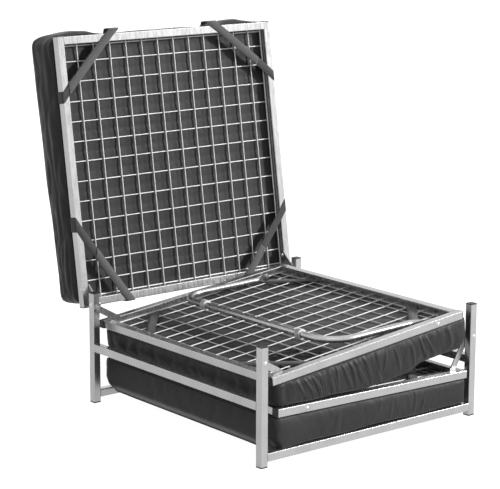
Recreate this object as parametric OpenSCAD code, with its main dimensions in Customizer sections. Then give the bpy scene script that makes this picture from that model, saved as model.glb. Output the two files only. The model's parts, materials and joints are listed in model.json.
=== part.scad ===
// Fold-out guest bed, folded into its cube with the middle section open.
// Millimetres. The origin is on the floor under the centre of the base.
// X is the long direction of the bed, Y its width and Z points up.

/* [Base] */
// Outer length and width of the square base
base_size = 680; // [600:5:760]
// Outside width of every square steel tube
tube = 20; // [18:1:25]
// Wall thickness of the square tube
wall = 1.5; // [1:0.1:2.5]
// Height of the steel posts above the floor
post_h = 281; // [270:1:300]
// Height of the centre of the two bottom rails
bottom_rail_z = 23; // [20:1:30]
// Height of the centre of the two middle rails
mid_rail_z = 143; // [135:1:150]

/* [Hinges] */
// Height of the hinge pins of the upper wing
upper_pivot_z = 245; // [240:1:248]
// Height of the hinge pins of the lower wing
lower_pivot_z = 201; // [198:1:204]
// Height of the hinge pins of the middle section
lid_pivot_z = 252; // [250:1:254]
// Height of the centre plane of the wing frames when unfolded
bed_plane_z = 294; // [292:1:296]
// How far the open middle section is turned back from closed, in degrees
lid_open = 98.6; // [90:0.1:105]
// Slope of the folded upper wing, in degrees
upper_tilt = 6; // [5:0.1:6.5]
// Slope of the folded lower wing, in degrees
lower_tilt = 1.2; // [1:0.1:1.4]

/* [Wings] */
// Distance from the hinge pins to the near end of a wing
wing_start = 16; // [14:1:20]
// Distance from the hinge pins to the far end of a wing
wing_end = 620; // [600:1:630]
// Spacing of the mesh wires
mesh_pitch = 50; // [45:1:60]
// Diameter of the mesh wires
wire_d = 3; // [2.5:0.1:3.4]
// Diameter of the border wires of the mesh
border_d = 3.8; // [3.4:0.1:4]

/* [Legs] */
// Outside diameter of the leg tube
leg_d = 16.6; // [15:0.1:17]
// Distance from the leg pins to the centre of the crossbar
leg_l = 300; // [280:1:305]
// Distance between the centres of the two arms of a leg
leg_w = 584; // [560:1:590]
// Radius of the leg bends, at the centre of the tube
leg_bend = 70; // [50:1:90]
// Distance from the hinge pins of a wing to its leg pins
leg_pin_s = 534; // [525:1:540]
// How far the folded leg lifts off the wing, in degrees
leg_lift = 4.4; // [4:0.1:4.6]

/* [Mattresses] */
// Thickness of the mattress of the middle section
pad_t = 74; // [60:1:85]
// Width of the mattresses
pad_w = 670; // [640:1:676]

/* [Hidden] */
$fn = 48;
pitch = base_size - tube;
half = base_size / 2;
post_c = pitch / 2;
inner = base_size / 2 - tube;
foot_h = 3;
cap_h = 2;
fit = 0.05;
plug_t = 2;
pin_r = 3;
head_r = 6;
head_t = 3.5;
nut_t = 4;
plate_t = 3;
link_w = 16;
strap_w = 22;
strap_t = 0.8;
ring_r = 13;
ring_l = 14;
ring_y = 183;
upper_drop = bed_plane_z - upper_pivot_z;
lower_drop = bed_plane_z - lower_pivot_z;
// The middle section clears the corners of its posts as it turns.
lid_gap = 33.4;
lid_drop = lid_gap + tube / 2;
lid_screw_y = -38;
lid_screw_z = lid_gap + 6;
// The mesh wires lie in two layers just inside the mattress side of a frame.
long_wire_n = -5.6;
cross_wire_n = long_wire_n - wire_d - fit;
pad_n = -11.3;
strap_n = long_wire_n - wire_d / 2 + border_d + 0.4;
lug_y = leg_w / 2 + 16;
lug_t = 4;
lug_r = 7;

// ---- shapes that repeat ----

module tube_outline(size) {
  corner = 2;
  square([size, size - 2 * corner], center = true);
  square([size - 2 * corner, size], center = true);
  for (x = [-1, 1], y = [-1, 1])
    translate([x * (size / 2 - corner), y * (size / 2 - corner)])
      circle(r = corner, $fn = 24);
}

// A square tube that runs along +X from the origin.
module tube_x(length) {
  rotate([90, 0, 90])
    linear_extrude(length)
      difference() {
        tube_outline(tube);
        square(tube - 2 * wall, center = true);
      }
}

// A square tube along Y, centred on the origin.
module tube_y(length) {
  translate([0, -length / 2, 0]) rotate([0, 0, 90]) tube_x(length);
}

// A plastic plug whose head faces +X and ends at the origin.
module plug_x(head) {
  rotate([90, 0, 90]) {
    translate([0, 0, -head]) linear_extrude(head) tube_outline(tube);
    translate([0, 0, -head - 12])
      linear_extrude(12) square(tube - 2 * wall - 2 * fit, center = true);
  }
}

// A rivet-like pin along +Z: its domed head is below the origin.
module pin_z(length, radius) {
  cylinder(r = radius, h = length);
  dome_r = (head_r * head_r + head_t * head_t) / (2 * head_t);
  intersection() {
    translate([0, 0, dome_r - head_t]) sphere(r = dome_r);
    translate([0, 0, -head_t]) cylinder(r = head_r, h = head_t);
  }
}

module hex_nut(bore) {
  difference() {
    cylinder(d = 10.4, h = nut_t, $fn = 6);
    translate([0, 0, -1]) cylinder(r = bore, h = nut_t + 2);
  }
}

// A hole along Y or X right through a tube that is centred on the origin.
module hole_y(radius) {
  rotate([90, 0, 0]) cylinder(r = radius, h = tube + 2, center = true);
}

module hole_x(radius) {
  rotate([0, 90, 0]) cylinder(r = radius, h = tube + 2, center = true);
}

// ---- places ----

// The upper wing's own frame: its pins are the origin and it runs along +X.
module in_upper() {
  translate([-post_c, 0, upper_pivot_z]) rotate([0, -upper_tilt, 0]) children();
}

module in_lower() {
  translate([post_c, 0, lower_pivot_z])
    mirror([1, 0, 0]) rotate([0, -lower_tilt, 0]) children();
}

// The closed middle section turned back to its open place.
module in_lid() {
  translate([0, post_c, lid_pivot_z]) rotate([-lid_open, 0, 0]) children();
}

module in_leg() {
  translate([leg_pin_s, 0, 0]) mirror([1, 0, 0]) rotate([0, -leg_lift, 0]) children();
}

// ---- base ----

module post(x, y, pivot_z, lid_side) {
  color("silver")
    translate([x * post_c, y * post_c, 0])
      difference() {
        translate([0, 0, foot_h]) rotate([0, -90, 0]) tube_x(post_h - foot_h);
        translate([0, 0, pivot_z]) hole_y(pin_r + fit);
        if (lid_side) translate([0, 0, lid_pivot_z]) hole_x(pin_r + fit);
      }
}

module post_front() { post(-1, -1, upper_pivot_z, false); }

module post_right() { post(1, -1, lower_pivot_z, false); }

module post_left() { post(-1, 1, upper_pivot_z, true); }

module post_back() { post(1, 1, lower_pivot_z, true); }

module at_posts() {
  for (x = [-1, 1], y = [-1, 1]) translate([x * post_c, y * post_c, 0]) children();
}

module post_caps() {
  color("black")
    at_posts() translate([0, 0, post_h + cap_h]) rotate([0, -90, 0]) plug_x(cap_h);
}

module feet() {
  color("black") at_posts() rotate([0, 90, 0]) plug_x(foot_h);
}

module bottom_rail(side) {
  color("silver") translate([-inner, side * post_c, bottom_rail_z]) tube_x(2 * inner);
}

module bottom_rail_front() { bottom_rail(-1); }

module bottom_rail_back() { bottom_rail(1); }

module mid_rail(side) {
  color("silver") translate([side * post_c, 0, mid_rail_z]) tube_y(2 * inner);
}

module mid_rail_left() { mid_rail(-1); }

module mid_rail_right() { mid_rail(1); }

// Two hinge pins of a wing, one in each post of a pair, heads outwards.
module wing_pins(x, z) {
  length = tube + plate_t + nut_t + 1;
  color("gainsboro")
    for (side = [-1, 1])
      translate([x, side * half, z]) rotate([side * 90, 0, 0]) pin_z(length, pin_r);
}

module upper_hinge_pins() { wing_pins(-post_c, upper_pivot_z); }

module lower_hinge_pins() { wing_pins(post_c, lower_pivot_z); }

module lid_hinge_pins() {
  length = tube + plate_t + nut_t + 1;
  color("gainsboro")
    for (side = [-1, 1])
      translate([side * half, post_c, lid_pivot_z])
        rotate([0, -side * 90, 0]) pin_z(length, pin_r);
}

module hinge_nuts() {
  reach = inner - plate_t - 0.4;
  color("gainsboro") {
    for (side = [-1, 1]) {
      for (end = [[-post_c, upper_pivot_z], [post_c, lower_pivot_z]])
        translate([end[0], side * reach, end[1]])
          rotate([side * 90, 0, 0]) hex_nut(pin_r + fit);
      translate([side * reach, post_c, lid_pivot_z])
        rotate([0, -side * 90, 0]) hex_nut(pin_r + fit);
    }
  }
}

// ---- frames with their mesh ----

// Positions of the mesh wires across a clear width: borders and an even grid.
function wires(width) =
  let (border = width / 2 - border_d, cells = floor(2 * (border - 20) / mesh_pitch))
  concat([-border], [for (i = [0:cells]) (i - cells / 2) * mesh_pitch], [border]);

// Wires along +X, each centred on X, at the given positions on Y.
module wire_layer(length, positions, n, outward) {
  last = len(positions) - 1;
  for (i = [0:last]) {
    d = i == 0 || i == last ? border_d : wire_d;
    translate([0, positions[i], n + outward * (d - wire_d) / 2])
      rotate([0, 90, 0]) cylinder(d = d, h = length, center = true, $fn = 16);
  }
}

// The mesh of a frame whose clear opening is size_x by size_y.
module mesh(size_x, size_y) {
  wire_layer(size_x - 0.2, wires(size_y), long_wire_n, 1);
  rotate([0, 0, 90]) wire_layer(size_y - 0.2, wires(size_x), cross_wire_n, -1);
}

// A webbing strap that lies across one corner of a mesh; the corner is the origin
// and the mesh is in its +X, +Y quarter. It stops at limit_y from the corner.
module corner_strap(reach_x, reach_y, limit_y) {
  run = sqrt(reach_x * reach_x + reach_y * reach_y);
  intersection() {
    translate([reach_x, 0, strap_n])
      rotate([0, 0, atan2(reach_y, -reach_x)])
        translate([0, -strap_w / 2, 0]) cube([run, strap_w, strap_t]);
    translate([1, limit_y, strap_n - 1]) cube([400, 400, 4]);
  }
}

// ---- middle section ----
// In its own frame the closed section has its hinge pins at the origin, it runs
// along -Y and its mattress is on top.

module lid_rail(side) {
  color("gainsboro")
    in_lid()
      difference() {
        translate([side * post_c, tube / 2 - plug_t, lid_drop])
          rotate([0, 0, -90]) tube_x(base_size - 2 * plug_t);
        translate([side * post_c, lid_screw_y, lid_screw_z]) hole_x(pin_r + fit);
      }
}

module lid_rail_left() { lid_rail(-1); }

module lid_rail_right() { lid_rail(1); }

module lid_cross_rail(y, reach) {
  color("gainsboro") in_lid() translate([-reach, y, lid_drop]) tube_x(2 * reach);
}

module lid_rail_hinge() { lid_cross_rail(-plug_t, inner - plate_t); }

module lid_rail_free() { lid_cross_rail(-pitch + plug_t, inner); }

// The frame's visible side faces down when it is closed, so the mesh is flipped.
module in_lid_mesh() {
  in_lid() translate([0, -post_c, lid_drop]) rotate([0, 180, 0]) rotate([0, 0, 90]) children();
}

module lid_mesh() {
  color("white") in_lid_mesh() mesh(2 * (inner - plug_t), 2 * inner);
}

// The plate that hangs the section from its hinge pin, clear of the mesh above it.
module lid_plate(side) {
  reach = 48;
  top = lid_gap + 13;
  color("gainsboro")
    in_lid()
      translate([side * (inner - plate_t / 2), 0, 0])
        rotate([90, 0, 90])
          translate([0, 0, -plate_t / 2])
            linear_extrude(plate_t)
              difference() {
                union() {
                  circle(r = 9);
                  polygon([[-9, 0], [-reach, lid_gap], [-reach, top], [5, top], [9, 0]]);
                }
                circle(r = pin_r + fit);
                translate([lid_screw_y, lid_screw_z]) circle(r = pin_r + fit);
              }
}

module lid_plate_left() { lid_plate(-1); }

module lid_plate_right() { lid_plate(1); }

module lid_plate_screws() {
  color("gainsboro")
    in_lid()
      for (side = [-1, 1])
        translate([side * (inner - plate_t), lid_screw_y, lid_screw_z])
          rotate([0, side * 90, 0]) pin_z(tube + plate_t, pin_r);
}

module lid_plugs() {
  color("black")
    in_lid()
      for (side = [-1, 1])
        translate([side * post_c, 0, lid_drop]) {
          translate([0, tube / 2, 0]) rotate([0, 0, 90]) plug_x(plug_t);
          translate([0, tube / 2 - base_size, 0]) rotate([0, 0, -90]) plug_x(plug_t);
        }
}

// A plain pad: the outline of its end, extruded across the width of the bed.
module pad(outline) {
  rotate([90, 0, 0])
    translate([0, 0, -pad_w / 2]) linear_extrude(pad_w) polygon(outline);
}

module lid_mattress() {
  bottom = lid_drop - pad_n;
  color("darkslategray")
    in_lid()
      translate([-pad_w / 2, -base_size + tube, bottom]) cube([pad_w, base_size - tube, pad_t]);
}

module lid_straps() {
  corner = inner - plug_t;
  color("dimgray")
    in_lid_mesh()
      for (x = [-1, 1], y = [-1, 1])
        mirror([x < 0 ? 0 : 1, 0, 0])
          mirror([0, y < 0 ? 0 : 1, 0])
            translate([-corner, -inner, 0]) corner_strap(150, 150, 1);
}

// ---- wings ----
// In its own frame a wing has its hinge pins at the origin, it runs along +X and
// its centre plane is at z = -drop, with the mattress below it.

wing_steel = wing_end - wing_start - 2 * plug_t;
wing_mid = (wing_start + wing_end) / 2;
wing_clear = wing_steel - 2 * tube;

module wing_rail(side, drop) {
  color("silver")
    difference() {
      translate([wing_start + plug_t, side * post_c, -drop]) tube_x(wing_steel);
      translate([leg_pin_s, side * post_c, -drop]) hole_y(pin_r + fit);
    }
}

module wing_cross_rail(end, drop) {
  x = end < 0 ? wing_start + plug_t + tube / 2 : wing_end - plug_t - tube / 2;
  color("silver") translate([x, 0, -drop]) tube_y(2 * inner);
}

module wing_mesh(drop) {
  color("white") translate([wing_mid, 0, -drop]) mesh(wing_clear, 2 * inner);
}

// The flat bar that hangs a wing from its hinge pin, welded inside the side rail
// with its foot just above the mesh.
module wing_link(side, drop, foot_x) {
  slope = atan2(-drop, foot_x);
  foot_lift = 4.5;
  run = sqrt(drop * drop + foot_x * foot_x) * (1 - foot_lift / drop);
  color("silver")
    translate([0, side * (inner - plate_t / 2 - fit), 0])
      rotate([90, 0, 0])
        translate([0, 0, -plate_t / 2])
          linear_extrude(plate_t)
            rotate([0, 0, slope])
              difference() {
                union() {
                  circle(d = link_w);
                  translate([0, -link_w / 2]) square([run, link_w]);
                }
                circle(r = pin_r + fit);
              }
}

module wing_plugs(drop) {
  color("black")
    for (side = [-1, 1])
      translate([0, side * post_c, -drop]) {
        translate([wing_end, 0, 0]) plug_x(plug_t);
        translate([wing_start, 0, 0]) rotate([0, 0, 180]) plug_x(plug_t);
      }
}

// Straps at the four corners; those at the far end stop short of the leg arms.
module wing_straps(drop) {
  arm_clear = inner - leg_w / 2 + leg_d / 2 + 3;
  color("dimgray")
    translate([wing_mid, 0, -drop])
      for (y = [-1, 1]) {
        mirror([0, y < 0 ? 0 : 1, 0])
          translate([-wing_clear / 2, -inner, 0]) corner_strap(110, 130, 1);
        mirror([1, 0, 0])
          mirror([0, y < 0 ? 0 : 1, 0])
            translate([-wing_clear / 2, -inner, 0]) corner_strap(110, 130, arm_clear);
      }
}

// Pins that carry the leg, heads outwards, with a nut inside each leg lug.
module wing_leg_pins(drop) {
  length = half - lug_y + lug_t / 2 + 0.4 + nut_t + 1;
  color("gainsboro")
    for (side = [-1, 1])
      translate([leg_pin_s, side * half, -drop])
        rotate([side * 90, 0, 0]) {
          pin_z(length, pin_r);
          translate([0, 0, length - nut_t - 1]) hex_nut(pin_r);
        }
}

// ---- legs ----
// In its own frame a leg has its pins at the origin and its crossbar along +X.

module leg_lug(side) {
  translate([0, side * lug_y + lug_t / 2, 0])
    rotate([90, 0, 0])
      linear_extrude(lug_t)
        difference() {
          union() {
            circle(r = lug_r);
            translate([0, -lug_r]) square([16, 2 * lug_r]);
          }
          circle(r = pin_r + fit);
        }
  // The flattened end widens into the round tube.
  hull() {
    translate([14, side * lug_y - lug_t / 2, -lug_r]) cube([2, lug_t, 2 * lug_r]);
    translate([44, side * leg_w / 2, 0]) rotate([0, 90, 0]) cylinder(d = leg_d, h = 2, $fn = 32);
  }
}

module leg_tube() {
  straight = leg_l - leg_bend;
  color("silver")
    union() {
      for (side = [-1, 1]) {
        leg_lug(side);
        translate([45, side * leg_w / 2, 0]) rotate([0, 90, 0]) cylinder(d = leg_d, h = straight - 45);
        translate([straight, side * (leg_w / 2 - leg_bend), 0])
          mirror([0, side < 0 ? 1 : 0, 0])
            rotate_extrude(angle = 90) translate([leg_bend, 0]) circle(d = leg_d);
      }
      translate([leg_l, 0, 0])
        rotate([90, 0, 0]) cylinder(d = leg_d, h = leg_w - 2 * leg_bend, center = true);
    }
}

module leg_rings() {
  color("white")
    for (side = [-1, 1])
      translate([leg_l, side * ring_y, 0])
        rotate([90, 0, 0])
          difference() {
            cylinder(r = ring_r, h = ring_l, center = true);
            cylinder(d = leg_d + 2 * fit, h = ring_l + 2, center = true);
          }
}

// ---- upper wing ----

module upper_rail_front() { in_upper() wing_rail(-1, upper_drop); }

module upper_rail_back() { in_upper() wing_rail(1, upper_drop); }

module upper_rail_near() { in_upper() wing_cross_rail(-1, upper_drop); }

module upper_rail_far() { in_upper() wing_cross_rail(1, upper_drop); }

module upper_mesh() { in_upper() wing_mesh(upper_drop); }

module upper_link_front() { in_upper() wing_link(-1, upper_drop, 68); }

module upper_link_back() { in_upper() wing_link(1, upper_drop, 68); }

module upper_plugs() { in_upper() wing_plugs(upper_drop); }

// The pad hangs under the mesh and is pressed thinner towards the hinge. Its far
// corners are drawn in past the links of the lower wing.
module upper_mattress() {
  top = -upper_drop + pad_n;
  side = pad_w / 2;
  color("darkslategray")
    in_upper()
      intersection() {
        pad([[20, top], [636, top], [636, top - 78], [450, top - 77], [20, top - 47]]);
        translate([0, 0, top - 100])
          linear_extrude(200)
            polygon([[0, -side], [590, -side], [640, 38 - side],
                     [640, side - 38], [590, side], [0, side]]);
      }
}

module upper_straps() { in_upper() wing_straps(upper_drop); }

module upper_leg_pins() { in_upper() wing_leg_pins(upper_drop); }

module upper_leg() { in_upper() translate([0, 0, -upper_drop]) in_leg() leg_tube(); }

module upper_leg_rings() { in_upper() translate([0, 0, -upper_drop]) in_leg() leg_rings(); }

// ---- lower wing ----

module lower_rail_front() { in_lower() wing_rail(-1, lower_drop); }

module lower_rail_back() { in_lower() wing_rail(1, lower_drop); }

module lower_rail_near() { in_lower() wing_cross_rail(-1, lower_drop); }

module lower_rail_far() { in_lower() wing_cross_rail(1, lower_drop); }

module lower_mesh() { in_lower() wing_mesh(lower_drop); }

module lower_link_front() { in_lower() wing_link(-1, lower_drop, 54); }

module lower_link_back() { in_lower() wing_link(1, lower_drop, 54); }

module lower_plugs() { in_lower() wing_plugs(lower_drop); }

// The pad rests on the two bottom rails.
module lower_mattress() {
  top = lower_pivot_z - lower_drop * cos(lower_tilt) + pad_n;
  rest = bottom_rail_z + tube / 2 + 0.4;
  near = post_c - 20;
  far = post_c - 632;
  rise = tan(lower_tilt);
  color("darkslategray")
    pad([[far, rest], [near, rest], [near, top + 20 * rise], [far, top + 632 * rise]]);
}

module lower_straps() { in_lower() wing_straps(lower_drop); }

module lower_leg_pins() { in_lower() wing_leg_pins(lower_drop); }

module lower_leg() { in_lower() translate([0, 0, -lower_drop]) in_leg() leg_tube(); }

module lower_leg_rings() { in_lower() translate([0, 0, -lower_drop]) in_leg() leg_rings(); }

post_front();
post_right();
post_left();
post_back();
post_caps();
feet();
bottom_rail_front();
bottom_rail_back();
mid_rail_left();
mid_rail_right();
upper_hinge_pins();
lower_hinge_pins();
lid_hinge_pins();
hinge_nuts();
lid_rail_left();
lid_rail_right();
lid_rail_hinge();
lid_rail_free();
lid_mesh();
lid_plate_left();
lid_plate_right();
lid_plate_screws();
lid_plugs();
lid_mattress();
lid_straps();
upper_rail_front();
upper_rail_back();
upper_rail_near();
upper_rail_far();
upper_mesh();
upper_link_front();
upper_link_back();
upper_plugs();
upper_mattress();
upper_straps();
upper_leg_pins();
upper_leg();
upper_leg_rings();
lower_rail_front();
lower_rail_back();
lower_rail_near();
lower_rail_far();
lower_mesh();
lower_link_front();
lower_link_back();
lower_plugs();
lower_mattress();
lower_straps();
lower_leg_pins();
lower_leg();
lower_leg_rings();
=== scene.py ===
"""Fold-out guest bed, folded into a low cube with its middle section standing open."""
import json
import math

import bpy
from mathutils import Matrix, Vector, noise


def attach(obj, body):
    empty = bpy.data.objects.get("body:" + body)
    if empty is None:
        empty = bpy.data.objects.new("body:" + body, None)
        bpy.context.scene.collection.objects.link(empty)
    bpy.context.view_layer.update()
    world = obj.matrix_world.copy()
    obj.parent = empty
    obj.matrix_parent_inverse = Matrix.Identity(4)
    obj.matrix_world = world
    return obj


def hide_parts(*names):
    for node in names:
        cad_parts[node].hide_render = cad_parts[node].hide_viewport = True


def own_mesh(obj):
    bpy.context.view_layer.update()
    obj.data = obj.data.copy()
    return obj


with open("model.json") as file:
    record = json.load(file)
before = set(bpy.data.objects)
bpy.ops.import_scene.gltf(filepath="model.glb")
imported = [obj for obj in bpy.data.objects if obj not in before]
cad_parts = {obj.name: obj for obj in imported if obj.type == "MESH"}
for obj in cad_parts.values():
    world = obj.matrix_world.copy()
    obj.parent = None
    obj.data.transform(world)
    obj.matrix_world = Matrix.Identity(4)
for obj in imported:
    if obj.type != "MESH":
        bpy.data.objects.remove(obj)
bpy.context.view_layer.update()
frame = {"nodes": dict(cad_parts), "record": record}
MM = 0.001


# ---------------------------------------------------------------- frames of the three sections

def placed(x, y, z, *turns):
    """A matrix at a point in millimetres, turned by (degrees, axis) pairs in order."""
    result = Matrix.Translation(Vector((x, y, z)) * MM)
    for degrees, axis in turns:
        result = result @ Matrix.Rotation(math.radians(degrees), 4, axis)
    return result


LID_FRAME = placed(0, 330, 252, (-98.6, "X"))
UPPER_FRAME = placed(-330, 0, 245, (-6, "Y"))
LOWER_FRAME = placed(330, 0, 201, (180, "Z"), (-1.2, "Y"))

# Levels in millimetres, each along its own section's upward direction.
TUBE = 20
LID_CENTRE = 43.4
LID_FACE = LID_CENTRE - TUBE / 2
LID_PAD_BOTTOM = 54.7
PAD_THICK = 74
UPPER_CENTRE = -49
UPPER_PAD_TOP = -60.3
LOWER_CENTRE = -93
LOWER_PAD_TOP = -104.3
WING_CENTRE = 318
WING_PAD_HALF = 335
WIRE_PITCH = 50
STRAP_LEVEL = -2.5
LID_STRAP_WIDTH = 21
WING_STRAP_WIDTH = 23
# The outer edges of the lid's frame in its own coordinates.
LID_FREE_EDGE = -680
LID_HINGE_EDGE = 10
LID_SIDE_EDGE = 340

CLOTH_STEPS = 20
PIPING_RADIUS = 1.7
# The cover of the lid's mattress is slack: it starts 6 mm higher and thickens to the free end.
LID_PAD_SLACK = 6
LID_PAD_RISE = 20
LID_PAD_RUN = 660


# ---------------------------------------------------------------- materials

class Finish:
    """A procedural material: one Principled shader and the nodes that feed it."""

    def __init__(self, name, **sockets):
        self.material = bpy.data.materials.new(name)
        self.material.use_nodes = True
        self.tree = self.material.node_tree
        self.shader = self.tree.nodes["Principled BSDF"]
        for key, value in sockets.items():
            self.shader.inputs[key.replace("_", " ")].default_value = value
        self.coords = self.tree.nodes.new("ShaderNodeTexCoord")

    def add(self, kind, **inputs):
        item = self.tree.nodes.new(kind)
        for key, value in inputs.items():
            item.inputs[key.replace("_", " ")].default_value = value
        return item

    def link(self, source, target):
        self.tree.links.new(source, target)

    def space(self, scale=(1, 1, 1), source="Object"):
        mapping = self.add("ShaderNodeMapping", Scale=scale)
        self.link(self.coords.outputs[source], mapping.inputs["Vector"])
        return mapping.outputs["Vector"]

    def noise(self, scale, detail=3.0, rough=0.5, stretch=(1, 1, 1), source="Object"):
        item = self.add("ShaderNodeTexNoise", Scale=scale, Detail=detail, Roughness=rough)
        self.link(self.space(stretch, source), item.inputs["Vector"])
        return item.outputs["Fac"]

    def ramp(self, value, low, high, a, b):
        """Maps low..high of a value to a..b, clamped."""
        item = self.add("ShaderNodeMapRange")
        item.inputs["From Min"].default_value = low
        item.inputs["From Max"].default_value = high
        item.inputs["To Min"].default_value = a
        item.inputs["To Max"].default_value = b
        self.link(value, item.inputs["Value"])
        return item.outputs["Result"]

    def mix(self, factor, first, second):
        item = self.tree.nodes.new("ShaderNodeMix")
        item.data_type = "RGBA"
        self.link(factor, item.inputs["Factor"])
        for socket, value in ((item.inputs["A"], first), (item.inputs["B"], second)):
            if isinstance(value, tuple):
                socket.default_value = value + (1,)
            else:
                self.link(value, socket)
        return item.outputs["Result"]

    def colour(self, value):
        self.link(value, self.shader.inputs["Base Color"])

    def roughness(self, value):
        self.link(value, self.shader.inputs["Roughness"])

    def bump(self, *layers):
        """Stacks (height, strength, distance in metres) layers onto the normal."""
        normal = None
        for height, strength, distance in layers:
            item = self.add("ShaderNodeBump", Strength=strength, Distance=distance)
            self.link(height, item.inputs["Height"])
            if normal is not None:
                self.link(normal, item.inputs["Normal"])
            normal = item.outputs["Normal"]
        self.link(normal, self.shader.inputs["Normal"])


def grey(value, warmth=0.0):
    return (value * (1 + warmth), value, value * (1 - warmth))


def metal(name, light, dark, metallic, rough, scratch):
    """Drawn or plated metal: mottled brightness, fine scratches and faint orange peel."""
    finish = Finish(name, Metallic=metallic, Specular_IOR_Level=0.5)
    mottle = finish.noise(14, 5, 0.6)
    streak = finish.noise(160, 4, 0.7, (1, 1, 0.06))
    scuff = finish.ramp(finish.noise(55, 6, 0.75), 0.62, 0.74, 0, 1)
    base = finish.mix(finish.ramp(mottle, 0.3, 0.7, 0, 1), dark, light)
    worn = finish.mix(finish.ramp(scuff, 0, 1, 0, scratch), base, grey(0.3, 0.02))
    finish.colour(worn)
    finish.roughness(finish.ramp(streak, 0.3, 0.7, rough - 0.06, rough + 0.08))
    peel = finish.noise(1400, 2)
    finish.bump((peel, 0.04, 0.0002), (streak, 0.03, 0.0002))
    return finish.material


def plastic(name, tone, rough):
    """Moulded plastic with a fine spark-eroded grain and slightly rubbed high spots."""
    finish = Finish(name, Specular_IOR_Level=0.3)
    grain = finish.noise(2200, 3, 0.6)
    cloud = finish.noise(40, 4)
    finish.colour(finish.mix(finish.ramp(cloud, 0.35, 0.7, 0, 1), tone, grey(tone[0] * 1.25)))
    finish.roughness(finish.ramp(cloud, 0.3, 0.7, rough - 0.05, rough + 0.07))
    finish.bump((grain, 0.25, 0.0001))
    return finish.material


def weave(finish, period, source="Object", axes=("X", "Y", "Z")):
    """Crossed threads: the bands of each direction, multiplied together."""
    bands = []
    for axis in axes:
        item = finish.add("ShaderNodeTexWave", Scale=0.31416 / period, Distortion=0.35)
        item.inputs["Detail"].default_value = 1
        item.bands_direction = axis
        finish.link(finish.space(source=source), item.inputs["Vector"])
        bands.append(item.outputs["Fac"])
    total = bands[0]
    for band in bands[1:]:
        item = finish.tree.nodes.new("ShaderNodeMath")
        item.operation = "MULTIPLY"
        finish.link(total, item.inputs[0])
        finish.link(band, item.inputs[1])
        total = item.outputs[0]
    return total


def cover_cloth():
    """Coated nylon cover: close plain weave, soft sheen, faint crumple and a little dust."""
    finish = Finish("mattress_cover_cloth", Specular_IOR_Level=0.13)
    finish.shader.inputs["Sheen Weight"].default_value = 0.05
    finish.shader.inputs["Sheen Roughness"].default_value = 0.45
    threads = weave(finish, 1.1 * MM)
    cloud = finish.noise(6, 5, 0.6)
    dust = finish.noise(90, 6, 0.8)
    base = finish.mix(finish.ramp(cloud, 0.3, 0.7, 0, 1), CLOTH_DARK, CLOTH_LIGHT)
    base = finish.mix(finish.ramp(threads, 0, 0.5, 0, 0.18), base, grey(0.055, -0.02))
    base = finish.mix(finish.ramp(dust, 0.66, 0.8, 0, 0.15), base, grey(0.08))
    finish.colour(base)
    finish.roughness(finish.ramp(cloud, 0.3, 0.7, 0.4, 0.5))
    crumple = finish.noise(34, 3, 0.55, (1, 1, 0.5))
    finish.bump((crumple, 0.2, 0.004), (threads, 0.3, 0.0003))
    return finish.material


def webbing(name, tone):
    """Woven strap: ribs across it, finer rows along it and a little fuzz."""
    finish = Finish(name, Roughness=0.7, Specular_IOR_Level=0.4)
    finish.shader.inputs["Sheen Weight"].default_value = 0.2
    ribs = weave(finish, 2.4 * MM, "UV", ("X",))
    rows = weave(finish, 1.5 * MM, "UV", ("Y",))
    fuzz = finish.noise(700, 4, 0.7)
    base = finish.mix(finish.ramp(ribs, 0.1, 0.9, 0, 1), grey(tone * 0.55), grey(tone * 1.3))
    base = finish.mix(finish.ramp(fuzz, 0.55, 0.8, 0, 0.3), base, grey(tone * 1.8))
    finish.colour(base)
    finish.bump((rows, 0.3, 0.0003), (ribs, 0.7, 0.0006), (fuzz, 0.2, 0.0002))
    return finish.material


CLOTH_DARK = grey(0.031)
CLOTH_LIGHT = grey(0.045)

STEEL = metal("frame_steel_silver", grey(0.42), grey(0.36), 0.9, 0.28, 0.2)
WIRE = metal("mesh_wire_zinc", grey(0.76), grey(0.64), 0.25, 0.44, 0.12)
BOLT = metal("bolt_steel_plated", grey(0.62, 0.02), grey(0.45, 0.02), 0.85, 0.3, 0.3)
BLACK = plastic("black_plastic_grain", grey(0.014), 0.5)
WHITE = plastic("white_plastic_grain", grey(0.78), 0.34)
CLOTH = cover_cloth()
STRAP_DARK = webbing("strap_webbing_dark", 0.035)
STRAP_LIGHT = webbing("strap_webbing_grey", 0.1)

NODE_FINISH = {
    "frame_steel": STEEL,
    "mesh_wire": WIRE,
    "bolt_steel": BOLT,
    "black_plastic": BLACK,
    "white_plastic": WHITE,
    "mattress_cover": CLOTH,
    "strap_webbing": STRAP_DARK,
}


def dress_nodes():
    """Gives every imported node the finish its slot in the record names."""
    for part in frame["record"]["subparts"]:
        obj = frame["nodes"][part["node"]]
        finish = NODE_FINISH[part["material_slot"]]
        obj.data.materials.clear()
        obj.data.materials.append(finish)
        for face in obj.data.polygons:
            face.material_index = 0


# ---------------------------------------------------------------- padded sections

def stations(low, high, edge, step):
    """Grid lines between two values, closer together near both ends."""
    near = [low, low + edge / 3, low + 2 * edge / 3, low + edge]
    far = [high - edge, high - 2 * edge / 3, high - edge / 3, high]
    count = max(2, round((high - low - 2 * edge) / step))
    middle = [low + edge + (high - low - 2 * edge) * i / count for i in range(1, count)]
    return near + middle + far


def square_to_round(a, b):
    """Maps the unit square's outer edge onto the unit circle, and its inside with it."""
    reach = max(a, b)
    length = math.hypot(a, b)
    if length == 0:
        return 0.0, 0.0
    return a / length * reach, b / length * reach


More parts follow.
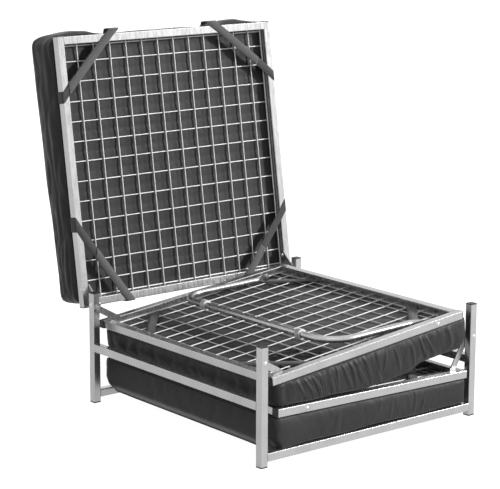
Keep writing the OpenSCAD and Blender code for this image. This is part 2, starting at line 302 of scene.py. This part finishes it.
class Pad:
    """A box cushion in a section's own frame, in millimetres: s along, y across, n up."""

    def __init__(self, name, s, y, bottom, top, corners, edge=9, steps=(9, 9)):
        self.name = name
        self.s0, self.s1 = s
        self.y0, self.y1 = y
        self.bottom = bottom
        self.top = top
        self.corners = corners
        self.edge = edge
        self.seams = []
        self.build(*steps)

    def plan(self, s, y):
        """Rounds the plan's corners. Returns the point, its inset from the edge and the way out."""
        radius = self.corners[0] if s < (self.s0 + self.s1) / 2 else self.corners[1]
        to_s = min(s - self.s0, self.s1 - s)
        to_y = min(y - self.y0, self.y1 - y)
        way_s = -1 if s - self.s0 < self.s1 - s else 1
        way_y = -1 if y - self.y0 < self.y1 - y else 1
        if to_s < radius and to_y < radius:
            a, b = square_to_round(1 - to_s / radius, 1 - to_y / radius)
            span = math.hypot(a, b)
            centre_s = (self.s0 if way_s < 0 else self.s1) - way_s * radius
            centre_y = (self.y0 if way_y < 0 else self.y1) - way_y * radius
            s = centre_s + way_s * a * radius
            y = centre_y + way_y * b * radius
            out = Vector((way_s * a, way_y * b)) / span if span else Vector((0, 0))
            return s, y, radius * (1 - span), out
        if to_s < to_y:
            return s, y, to_s, Vector((way_s, 0))
        return s, y, to_y, Vector((0, way_y))

    def place(self, s, y, level):
        """The surface point for a grid point; level runs from 0 at the bottom to 1 at the top."""
        s, y, inset, out = self.plan(s, y)
        low = self.bottom(s, y)
        high = self.top(s, y)
        height = low + (high - low) * level
        edge = self.edge
        drop = min(height - low, high - height)
        if inset < edge and drop < edge:
            a, b = square_to_round(1 - inset / edge, 1 - drop / edge)
            shift = edge * (1 - a) - inset
            s -= out.x * shift
            y -= out.y * shift
            drop = edge * (1 - b)
            height = low + drop if level < 0.5 else high - drop
        return Vector((s, y, height)) * MM

    def build(self, step_s, step_y):
        along = stations(self.s0, self.s1, self.corners[0], step_s)
        across = stations(self.y0, self.y1, self.corners[0], step_y)
        middle = [0.16 + 0.68 * i / 8 for i in range(1, 8)]
        levels = [0, 0.07, 0.16] + middle + [0.84, 0.93, 1]
        last = (len(along) - 1, len(across) - 1, len(levels) - 1)
        index = {}
        points = []

        def corner(i, j, k):
            key = (i, j, k)
            if key not in index:
                index[key] = len(points)
                points.append(self.place(along[i], across[j], levels[k]))
            return index[key]

        def quad(*keys):
            faces.append([corner(*key) for key in keys])

        faces = []
        end_i, end_j, end_k = last
        for i in range(end_i):
            for j in range(end_j):
                quad((i, j, 0), (i, j + 1, 0), (i + 1, j + 1, 0), (i + 1, j, 0))
                k = end_k
                quad((i, j, k), (i + 1, j, k), (i + 1, j + 1, k), (i, j + 1, k))
        for k in range(end_k):
            for i in range(end_i):
                quad((i, 0, k), (i + 1, 0, k), (i + 1, 0, k + 1), (i, 0, k + 1))
                j = end_j
                quad((i, j, k), (i, j, k + 1), (i + 1, j, k + 1), (i + 1, j, k))
            for j in range(end_j):
                quad((0, j, k), (0, j, k + 1), (0, j + 1, k + 1), (0, j + 1, k))
                i = end_i
                quad((i, j, k), (i, j + 1, k), (i, j + 1, k + 1), (i, j, k + 1))
        mesh = bpy.data.meshes.new(self.name)
        mesh.from_pydata(points, [], faces)
        for face in mesh.polygons:
            face.use_smooth = True
        self.obj = bpy.data.objects.new(self.name, mesh)
        bpy.context.scene.collection.objects.link(self.obj)
        mesh.materials.append(CLOTH)
        for k in (0, last[2]):
            loop = [index[(i, 0, k)] for i in range(last[0])]
            loop += [index[(last[0], j, k)] for j in range(last[1])]
            loop += [index[(i, last[1], k)] for i in range(last[0], 0, -1)]
            loop += [index[(0, j, k)] for j in range(last[1], 0, -1)]
            self.seams.append(loop)

    def inflate(self, pressure, growth, cap):
        """Swells the cover with a short cloth simulation held at its seams."""
        held = self.obj.vertex_groups.new(name="seam")
        for loop in self.seams:
            held.add(loop, 1.0, "REPLACE")
        start = [v.co.copy() for v in self.obj.data.vertices]
        modifier = self.obj.modifiers.new("Cloth", "CLOTH")
        settings = modifier.settings
        settings.quality = 4
        settings.mass = 0.08
        settings.tension_stiffness = 12
        settings.compression_stiffness = 12
        settings.shear_stiffness = 4
        settings.bending_stiffness = 0.3
        settings.use_pressure = True
        settings.uniform_pressure_force = pressure
        settings.shrink_min = -growth
        settings.vertex_group_mass = "seam"
        settings.effector_weights.gravity = 0
        modifier.point_cache.frame_start = 1
        modifier.point_cache.frame_end = CLOTH_STEPS
        scene = bpy.context.scene
        for step in range(1, CLOTH_STEPS + 1):
            scene.frame_set(step)
        graph = bpy.context.evaluated_depsgraph_get()
        moved = self.obj.evaluated_get(graph).to_mesh()
        ends = [v.co.copy() for v in moved.vertices]
        self.obj.evaluated_get(graph).to_mesh_clear()
        self.obj.modifiers.remove(modifier)
        self.obj.vertex_groups.remove(held)
        for vertex, a, b in zip(self.obj.data.vertices, start, ends):
            way = b - a
            vertex.co = a + way * (cap * MM / (cap * MM + way.length))
        scene.frame_set(1)

    def smooth(self):
        """Applies one level of subdivision; the grid's own points keep their order."""
        modifier = self.obj.modifiers.new("Subdivision", "SUBSURF")
        modifier.levels = 1
        modifier.render_levels = 1
        graph = bpy.context.evaluated_depsgraph_get()
        finer = bpy.data.meshes.new_from_object(self.obj.evaluated_get(graph))
        self.obj.modifiers.remove(modifier)
        old = self.obj.data
        self.obj.data = finer
        bpy.data.meshes.remove(old)
        finer.name = self.name

    def shape(self, move):
        """Moves each point by move(s, y, n), in millimetres."""
        for vertex in self.obj.data.vertices:
            s, y, n = vertex.co / MM
            vertex.co = Vector(move(s, y, n)) * MM

    def finish(self, matrix, body, node, fill):
        self.obj.matrix_world = matrix
        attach(self.obj, body)
        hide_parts(node)
        self.pieces = [self.obj]
        for number, loop in enumerate(self.seams):
            path = [self.obj.data.vertices[i].co.copy() for i in loop]
            self.pieces.append(piping(f"{self.name}_piping_{number + 1}", path, matrix, body))


def piping(name, path, matrix, body):
    """The corded seam round a face of a cover: a thin cloth tube sunk halfway into it."""
    curve = bpy.data.curves.new(name, "CURVE")
    curve.dimensions = "3D"
    curve.bevel_depth = PIPING_RADIUS * MM
    curve.bevel_resolution = 2
    spline = curve.splines.new("POLY")
    spline.points.add(len(path) - 1)
    for point, place in zip(spline.points, path):
        point.co = (*place, 1)
    spline.use_cyclic_u = True
    obj = bpy.data.objects.new(name, curve)
    bpy.context.scene.collection.objects.link(obj)
    graph = bpy.context.evaluated_depsgraph_get()
    mesh = bpy.data.meshes.new_from_object(obj.evaluated_get(graph))
    mesh.name = name
    bpy.data.objects.remove(obj)
    tube = bpy.data.objects.new(name, mesh)
    bpy.context.scene.collection.objects.link(tube)
    mesh.materials.clear()
    mesh.materials.append(CLOTH)
    for face in mesh.polygons:
        face.use_smooth = True
    tube.matrix_world = matrix
    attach(tube, body)
    return tube


def bell(x, centre, width):
    return math.exp(-((x - centre) / width) ** 2)


def ease(x, low, high):
    t = min(1.0, max(0.0, (x - low) / (high - low)))
    return t * t * (3 - 2 * t)


def ripple(s, y, n, size, height, seed):
    """A smooth, uneven swell; the same at every run."""
    return height * noise.noise(Vector((s / size[0], y / size[1], n / size[2] + seed)))


def cells(s, y, s_phase, y_phase, height):
    """How far the cover stands up between the mesh wires, which press it down."""
    a = abs(math.sin(math.pi * (s - s_phase) / WIRE_PITCH))
    b = abs(math.sin(math.pi * (y - y_phase) / WIRE_PITCH))
    return height * math.sqrt(a * b)


# The lid's pad: s is the row's X, y runs from the hinge (0) to the free end (-660).

def lid_pad_back(s, y):
    """The level of the lying surface."""
    return LID_PAD_BOTTOM + PAD_THICK + LID_PAD_SLACK - LID_PAD_RISE * y / LID_PAD_RUN


def make_lid_pad():
    pad = Pad("lid_pad", (-343, 343), (-673, 2), lambda s, y: LID_PAD_BOTTOM, lid_pad_back, (24, 20))
    pad.inflate(2, 0.012, 7)
    pad.smooth()

    def move(s, y, n):
        back = lid_pad_back(s, y)
        middle = ease(n, LID_PAD_BOTTOM, LID_PAD_BOTTOM + 14) * ease(back - n, 0, 14)
        end = ease(-y, 560, 650)
        puff = 11 * bell(s, -260, 66) + 12 * bell(s, 240, 56) - 4
        puff -= 7 * bell(s, -165, 34) + 7 * bell(s, 150, 34)
        y -= end * puff * (0.35 + 0.65 * middle)
        side = ease(abs(s), 305, 338) * middle
        fold = 2.2 * math.sin((n + 8 * math.sin(y / 50)) / 5.2) * bell(y, -110, 110)
        fold += ripple(s, y, n, (60, 90, 26), 5, 3.1)
        s += math.copysign(side * fold, s)
        if n < LID_PAD_BOTTOM + 12:
            inside = ease(320 - abs(s), 0, 30) * ease(min(-y, 660 + y), 10, 40)
            n = max(n, LID_PAD_BOTTOM)
            n -= inside * (cells(s, y, 0, 20, 1.5) - 0.5)
        if n > back - 12:
            n += ripple(s, y, 0, (150, 120, 1), 5, 0.4)
        return s, y, min(n, back + 6)

    pad.shape(move)
    pad.finish(LID_FRAME, "lid", "lid_mattress", 0.7)


# The wings' pads hang under their meshes: s runs from the hinge to the free end.

FRONT_CREASES = (
    # place under the rail, lean, width, height
    (92, 0.4, 3.4, 2),
    (112, 0.4, 2.7, 2.7),
    (132, 0.35, 2.3, 3.4),
    (152, 0.3, 2.7, 2.2),
    (186, 0.1, 2.3, 3.1),
    (204, 0.15, 2.7, 2.5),
    (224, 0.35, 2.3, 3.6),
    (239, 0.4, 2.3, 3.8),
    (262, 0.35, 2.7, 3.1),
    (288, 0.3, 2.7, 2.7),
    (330, 0.15, 4, 1.8),
    (360, -0.15, 3.4, 1.8),
    (395, 0.1, 4, 1.8),
    (440, 0.2, 4, 1.3),
    (474, 0.35, 2.3, 3.4),
    (490, 0.4, 2.3, 2.9),
    (566, 0.2, 6.1, 1.3),
)


def creases(s, n, top, items):
    """Upright folds in a side face, each a narrow ridge with a hollow beside it."""
    total = 0.0
    for place, lean, width, height in items:
        depth = top - n
        line = place + lean * depth + 4 * math.sin(depth / 24 + place)
        fade = 0.35 + 0.65 * bell(depth, 30 + place % 17, 26)
        total += height * fade * (bell(s, line, width) - 0.6 * bell(s, line + 2 * width, 1.4 * width))
    return total


def crumples(s, y):
    """Sharp folds of slack cover under the mesh, near the front post."""
    share = bell(s, 165, 75) * bell(y, -235, 70)
    sharp = 1 - abs(noise.noise(Vector((s / 24 + y / 50, y / 22, 4.2))) * 2)
    return share * 15 * (1 - sharp * sharp)


def make_wing_pad(name, node, body, matrix, top, low, ends, folds, corners, swell_by, growth, crumpled):
    start, end = ends
    wide = WING_PAD_HALF
    pad = Pad(name, ends, (-wide, wide), low, lambda s, y: top, corners, steps=(5, 9))
    pad.inflate(2, growth, 6)
    pad.smooth()

    def move(s, y, n):
        floor = low(s, y) - 3
        depth = top - floor
        middle = ease(top - n, 2, 16) * ease(n - floor, 0, 16)
        side = ease(abs(y), wide - 30, wide - 2)
        swell = creases(s, n, top, folds) + ripple(s, y, n, (120, 40, 60), swell_by, 1.7)
        y += math.copysign(side * middle * swell, y)
        if n < floor + depth * 0.35:
            n += ripple(s, y, 0, (90, 120, 1), 4, 2.2) * ease(abs(y), wide - 200, wide)
        if n > top - 12:
            inside = ease(min(s - start, end - s), 8, 40) * ease(wide - abs(y), 8, 36)
            n = min(n, top)
            n += inside * (cells(s, y, WING_CENTRE, 25, 2.2) - 0.6)
            if crumpled:
                n -= crumples(s, y)
        if s > 590:
            s -= 26 * ease(floor + 34 - n, 0, 34) * (s - 590) / 46
        return s, y, n

    pad.shape(move)
    pad.finish(matrix, body, node, 0.6)
    return pad


def upper_floor(s, y):
    """The underside: clear of the lower leg inside, and sagging onto the lower rails outside."""
    inside = 54 - 9 * ease(s, 55, 110) + 29 * ease(s, 20, 450)
    on_rail = 54.5 + 0.126 * (s - 36)
    hanging = 74 + 14 * (1 - ease(s, 425, 492))
    outside = min(on_rail, hanging)
    share = ease(abs(y), 304, 326)
    return UPPER_PAD_TOP - inside - (outside - inside) * share


def lower_floor(s, y):
    """The base's bottom rails carry this pad, and it sags a little between them."""
    tilt = math.radians(1.2)
    height = 34.2 - 11 * ease(317 - abs(y), 0, 12)
    return -(201 - height + s * math.sin(tilt)) / math.cos(tilt)


LOWER_CREASES = (
    (150, 0.2, 4.2, 0.9),
    (185, 0.15, 3.5, 1.2),
    (205, -0.2, 4.2, 1),
    (240, 0.2, 3.5, 1.2),
    (262, -0.1, 4.2, 1),
    (300, 0.15, 4.2, 0.9),
    (430, 0.2, 8.4, 0.8),
)


# ---------------------------------------------------------------- straps

def lofted(name, left, right, thick, material, matrix, body):
    """A flat band between two edges given in millimetres, with a real thickness and rounded edges."""
    count = len(left)
    rings = []
    lengths = [0.0]
    middles = [(a + b) / 2 for a, b in zip(left, right)]
    for i in range(1, count):
        lengths.append(lengths[-1] + (middles[i] - middles[i - 1]).length)
    for i in range(count):
        ahead = middles[min(i + 1, count - 1)] - middles[max(i - 1, 0)]
        across = right[i] - left[i]
        normal = ahead.cross(across).normalized() * (thick / 2)
        side = across.normalized() * (thick * 0.45)
        a, b = left[i], right[i]
        rings.append([a - side, a + normal + side * 0.2, (a + b) / 2 + normal * 1.15, b + normal - side * 0.2,
                      b + side, b - normal - side * 0.2, (a + b) / 2 - normal, a - normal + side * 0.2])
    across_at = (0, 1, 11, 21, 22, 23, 33, 43, 44)
    points = [p * MM for ring in rings for p in ring]
    faces = []
    spots = []
    for i in range(count - 1):
        for k in range(8):
            faces.append([i * 8 + k, i * 8 + (k + 1) % 8, (i + 1) * 8 + (k + 1) % 8, (i + 1) * 8 + k])
            spots.append([(lengths[i], across_at[k]), (lengths[i], across_at[k + 1]),
                          (lengths[i + 1], across_at[k + 1]), (lengths[i + 1], across_at[k])])
    for i, order in ((0, range(7, -1, -1)), (count - 1, range(8))):
        faces.append([i * 8 + k for k in order])
        spots.append([(lengths[i], across_at[k]) for k in order])
    mesh = bpy.data.meshes.new(name)
    mesh.from_pydata(points, [], faces)
    layer = mesh.uv_layers.new(name="UVMap")
    for face, corners in zip(mesh.polygons, spots):
        face.use_smooth = len(corners) == 4
        for loop, (u, v) in zip(face.loop_indices, corners):
            layer.data[loop].uv = (u * MM, v * MM)
    mesh.materials.append(material)
    obj = bpy.data.objects.new(name, mesh)
    bpy.context.scene.collection.objects.link(obj)
    obj.matrix_world = matrix
    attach(obj, body)
    return obj


def corner_band(first, second, width, bars, face, tuck):
    """Both edges of a strap that lies over the faces of two bars and spans the corner between them.

    first is where its middle crosses the outer edge of the bar that runs along s, and second where
    it crosses the outer edge of the bar that runs along y. bars holds those bars' outer and inner
    edges. tuck is how far each end turns inwards past its bar, into the cover's seam.
    """
    y_out, y_in, s_out, s_in = bars
    a, b = Vector(first), Vector(second)
    way = (b - a).normalized()
    off = Vector((-way.y, way.x)) * width / 2
    out_y = math.copysign(1.0, y_out - y_in)
    out_s = math.copysign(1.0, s_out - s_in)
    # (outwards from the bar's edge, past the bar's face) from the tucked end to the face
    ends = ((-tuck, 29), (-tuck * 0.45, 25), (1.0, 20.5), (1.0, 2.2), (-0.6, 0.3))
    edges = []
    for sign in (1, -1):
        p = a + off * sign
        top = p + way * ((y_out - p.y) / way.y)
        inner_top = p + way * ((y_in - p.y) / way.y)
        inner_side = p + way * ((s_in - p.x) / way.x)
        side = p + way * ((s_out - p.x) / way.x)
        path = [Vector((top.x, top.y + out_y * out, face + past)) for out, past in ends]
        path.append(Vector((top.x + way.x, top.y - out_y * 3, face)))
        path.append(Vector((*inner_top, face)))
        path.append(Vector((*inner_side, face)))
        path.append(Vector((side.x - out_s * 3, side.y - way.y, face)))
        path += [Vector((side.x + out_s * out, side.y, face + past)) for out, past in reversed(ends)]
        edges.append(path)
    return edges


def matched(left, right, step=6.0):
    """Splits both edges into the same number of points."""
    out_left, out_right = [left[0]], [right[0]]
    for i in range(1, len(left)):
        longest = max((left[i] - left[i - 1]).length, (right[i] - right[i - 1]).length)
        count = max(1, math.ceil(longest / step))
        for k in range(1, count + 1):
            out_left.append(left[i - 1].lerp(left[i], k / count))
            out_right.append(right[i - 1].lerp(right[i], k / count))
    return out_left, out_right


def cut(left, right, low, high):
    """The stretch of a band between two shares of its length."""
    last = len(left) - 1
    a, b = round(last * low), round(last * high)
    return left[a:b + 1], right[a:b + 1]


def lid_strap(name, first, second, light_to, tuck, stand_for):
    """A dark strap from the side bar and a lighter ribbed one from the cross bar on top of it."""
    y_out = LID_FREE_EDGE if first[1] < -300 else LID_HINGE_EDGE
    inward = 1 if first[1] < -300 else -1
    s_out = math.copysign(LID_SIDE_EDGE, second[0])
    bars = (y_out, y_out + inward * TUBE, s_out, s_out - math.copysign(TUBE, s_out))
    face = LID_FACE - 0.6
    left, right = corner_band(first, second, LID_STRAP_WIDTH, bars, face, tuck)
    left, right = matched(left, right)
    dark = cut(left, right, 1 - light_to - 0.12, 1)
    dark_piece = lofted(name + "_side", *dark, 0.9, STRAP_DARK, LID_FRAME, "lid")
    lift = Vector((0, 0, -1.0))
    light = cut([p + lift for p in left], [p + lift for p in right], 0, light_to)
    lofted(name + "_cross", *light, 1.0, STRAP_LIGHT, LID_FRAME, "lid")
    if stand_for:
        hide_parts(stand_for)


def make_lid_straps():
    lid_strap("lid_strap_free_left", (-170, -680), (-340, -518), 0.76, 18, "lid_straps")
    lid_strap("lid_strap_free_right", (142, -680), (340, -523), 0.66, 18, None)
    lid_strap("lid_strap_hinge_left", (-195, 10), (-340, -200), 0.6, 8, None)
    lid_strap("lid_strap_hinge_right", (180, 10), (340, -172), 0.45, 8, None)


def wing_strap(name, matrix, body, level, s_edge, y_edge, reach_s, reach_y, material, node):
    """A strap that lies on the mesh across one corner and ends under the bars."""
    toward = 1 if s_edge < 300 else -1
    side = math.copysign(1, y_edge)
    a = Vector((s_edge + toward * reach_s, y_edge - side))
    b = Vector((s_edge + toward, y_edge - side * reach_y))
    way = (b - a).normalized()
    off = Vector((-way.y, way.x)) * (WING_STRAP_WIDTH / 2)
    left, right = [], []
    for sign, edge in ((1, left), (-1, right)):
        p = a + off * sign
        start = p + way * ((y_edge - side * 1.0 - p.y) / way.y)
        stop = p + way * ((s_edge + toward * 1.0 - p.x) / way.x)
        for t in range(0, 31):
            q = start.lerp(stop, t / 30)
            edge.append(Vector((q.x, q.y, level + 0.35 * math.sin(t / 30 * math.pi))))
    piece = lofted(name, left, right, 0.8, material, matrix, body)
    if node:
        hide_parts(node)


def make_wing_straps(prefix, matrix, body, centre):
    level = centre + STRAP_LEVEL
    node = prefix + "_straps"
    for side, word in ((-1, "front"), (1, "back")):
        wing_strap(f"{prefix}_strap_hinge_{word}", matrix, body, level, 36, side * 309,
                   132, 150, STRAP_DARK, node if side < 0 else None)
        wing_strap(f"{prefix}_strap_free_{word}", matrix, body, level, 600, side * 283,
                   88, 106, STRAP_LIGHT, None)


# ---------------------------------------------------------------- studio

def make_floor():
    mesh = bpy.data.meshes.new("studio_floor")
    reach = 20
    mesh.from_pydata([(-reach, -reach, 0), (reach, -reach, 0), (reach, reach, 0), (-reach, reach, 0)],
                     [], [(0, 1, 2, 3)])
    obj = bpy.data.objects.new("studio_floor", mesh)
    bpy.context.scene.collection.objects.link(obj)
    finish = Finish("studio_floor_paper", Roughness=0.9)
    finish.shader.inputs["Base Color"].default_value = (0.35, 0.35, 0.35, 1)
    finish.shader.inputs["Emission Color"].default_value = (1, 1, 1, 1)
    finish.shader.inputs["Emission Strength"].default_value = 0.97
    grain = finish.noise(300, 4)
    finish.bump((grain, 0.05, 0.0002))
    mesh.materials.append(finish.material)
    obj.visible_diffuse = False


def make_world():
    """A white sweep: dim as diffuse light, bright in the metal's reflections and behind the bed."""
    world = bpy.data.worlds.new("studio_world")
    world.use_nodes = True
    tree = world.node_tree
    path = tree.nodes.new("ShaderNodeLightPath")
    shade = tree.nodes["Background"]
    shade.inputs["Strength"].default_value = 0.13
    for ray, strength in (("Is Glossy Ray", 1.3), ("Is Camera Ray", 1.05)):
        other = tree.nodes.new("ShaderNodeBackground")
        other.inputs["Color"].default_value = (1, 1, 1, 1)
        other.inputs["Strength"].default_value = strength
        mix = tree.nodes.new("ShaderNodeMixShader")
        tree.links.new(path.outputs[ray], mix.inputs["Fac"])
        tree.links.new(shade.outputs[0], mix.inputs[1])
        tree.links.new(other.outputs[0], mix.inputs[2])
        shade = mix
    tree.nodes["Background"].inputs["Color"].default_value = (1, 1, 1, 1)
    tree.links.new(shade.outputs[0], tree.nodes["World Output"].inputs["Surface"])
    bpy.context.scene.world = world


def make_sun(name, toward, strength, spread):
    """A soft sun whose light comes from the direction toward."""
    light = bpy.data.lights.new(name, "SUN")
    light.energy = strength
    light.angle = math.radians(spread)
    obj = bpy.data.objects.new(name, light)
    bpy.context.scene.collection.objects.link(obj)
    obj.rotation_euler = Vector(toward).to_track_quat("Z", "Y").to_euler()


def make_camera():
    data = bpy.data.cameras.new("photo_camera")
    data.lens = 140.2
    data.sensor_width = 36
    data.clip_end = 100
    obj = bpy.data.objects.new("photo_camera", data)
    bpy.context.scene.collection.objects.link(obj)
    back = Vector((-0.6164, -0.7596, 0.2078)).normalized()
    right = Vector((0, 0, 1)).cross(back).normalized()
    upward = back.cross(right)
    roll = math.radians(0.227)
    x_axis = right * math.cos(roll) + upward * math.sin(roll)
    y_axis = upward * math.cos(roll) - right * math.sin(roll)
    turn = Matrix((x_axis, y_axis, back)).transposed().to_4x4()
    obj.matrix_world = Matrix.Translation((-3.0002, -3.5753, 1.4079)) @ turn
    bpy.context.scene.camera = obj


dress_nodes()
make_lid_pad()
upper_pad = make_wing_pad(
    "upper_pad", "upper_mattress", "upper_wing", UPPER_FRAME, UPPER_PAD_TOP, upper_floor,
    ends=(22, 637), folds=FRONT_CREASES, corners=(22, 12), swell_by=2.5, growth=0.012, crumpled=True)
make_wing_pad(
    "lower_pad", "lower_mattress", "lower_wing", LOWER_FRAME, LOWER_PAD_TOP, lower_floor,
    ends=(13, 632), folds=LOWER_CREASES, corners=(10, 24), swell_by=1.5, growth=0.004, crumpled=False)
# The upper pad's pieces get meshes of their own.
for piece in upper_pad.pieces:
    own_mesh(piece)
make_lid_straps()
make_wing_straps("upper", UPPER_FRAME, "upper_wing", UPPER_CENTRE)
make_wing_straps("lower", LOWER_FRAME, "lower_wing", LOWER_CENTRE)
make_floor()
make_world()
make_sun("key_sun", (0.9, -0.62, 0.42), 4.0, 8)
make_sun("fill_sun", (-0.5, -0.5, 1.0), 0.3, 40)
make_camera()
bpy.context.scene.view_settings.view_transform = "Standard"
